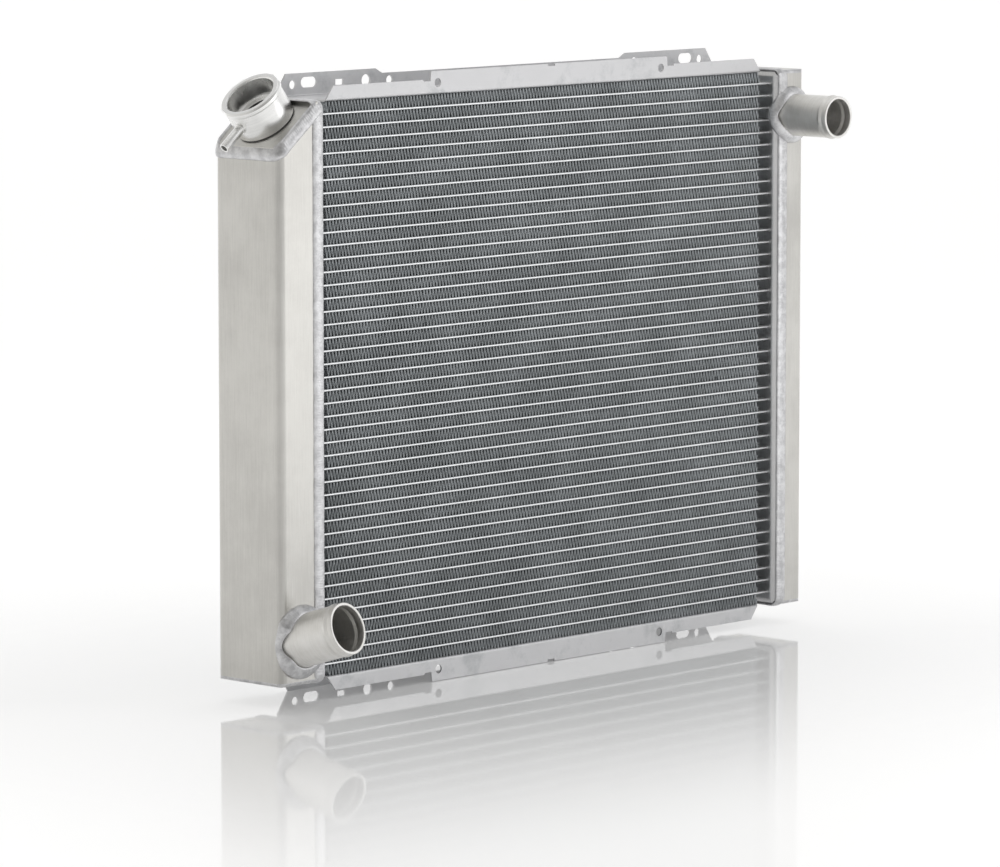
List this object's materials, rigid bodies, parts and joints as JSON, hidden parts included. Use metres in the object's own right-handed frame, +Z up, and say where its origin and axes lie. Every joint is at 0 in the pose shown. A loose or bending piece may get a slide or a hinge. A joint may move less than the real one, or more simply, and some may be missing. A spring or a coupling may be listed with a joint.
{
  "type": "car radiator",
  "caption": "Aluminium crossflow car radiator with a finned flat-tube core, two welded side tanks, hose necks, tilted filler neck, flanged side channels and a drain cock.",
  "frame": {"origin": "middle of the footprint's bounding box, on the ground that the mounting tabs stand on", "axes": "+X across the core from the wide tank to the narrow one, +Y towards the back, away from the hose necks, +Z up"},
  "size_m": [0.7064, 0.1614, 0.5325],
  "materials": {
    "header": "satin rolled sheet",
    "tank_sheet": "brushed mill finish",
    "tube": "bright extruded",
    "fin": "thin louvred foil, slate grey after brazing",
    "channel": "mottled mill finish",
    "hose_neck": "warm satin, turned",
    "polished": "turned and polished",
    "weld_bead": "rippled weld metal",
    "drain_brass": "dull brass",
    "seal_rubber": "matte black"
  },
  "bodies": {
    "radiator": {"left_header_plate": "header", "right_header_plate": "header", "left_tank_shell": "tank_sheet", "left_tank_top_plate": "tank_sheet", "left_tank_bottom_plate": "tank_sheet", "right_tank_shell": "tank_sheet", "right_tank_top_plate": "tank_sheet", "right_tank_bottom_plate": "tank_sheet", "front_tubes": "tube", "rear_tubes": "tube", "fin_strips": "fin", "top_side_channel": "channel", "bottom_side_channel": "channel", "upper_hose_neck": "hose_neck", "lower_hose_neck": "hose_neck", "filler_neck": "polished", "overflow_nipple": "polished", "left_header_weld": "weld_bead", "right_header_weld": "weld_bead", "left_top_weld": "weld_bead", "left_bottom_weld": "weld_bead", "right_top_weld": "weld_bead", "right_bottom_weld": "weld_bead", "upper_neck_weld": "weld_bead", "lower_neck_weld": "weld_bead", "filler_neck_weld": "weld_bead", "drain_boss": "hose_neck", "drain_boss_weld": "weld_bead", "drain_cock_body": "drain_brass"},
    "drain_seal": {"drain_cock_seal": "seal_rubber"},
    "drain_spindle": {"drain_cock_spindle": "drain_brass"}
  },
  "joints": [
    {"name": "drain_cock_travel", "type": "slide", "parent": "radiator", "child": "drain_seal", "axis": [0, 1, 0], "range_m": [0, 0.0019]},
    {"name": "drain_cock_turn", "type": "hinge", "parent": "drain_seal", "child": "drain_spindle", "pos_m": [0.3333, 0.07365, 0.0488], "axis": [0, 1, 0], "range_deg": [0, 450]}
  ],
  "couplings": [
    {"joint": "drain_cock_travel", "follows": "drain_cock_turn", "m_per_rad": 0.00023873}
  ]
}
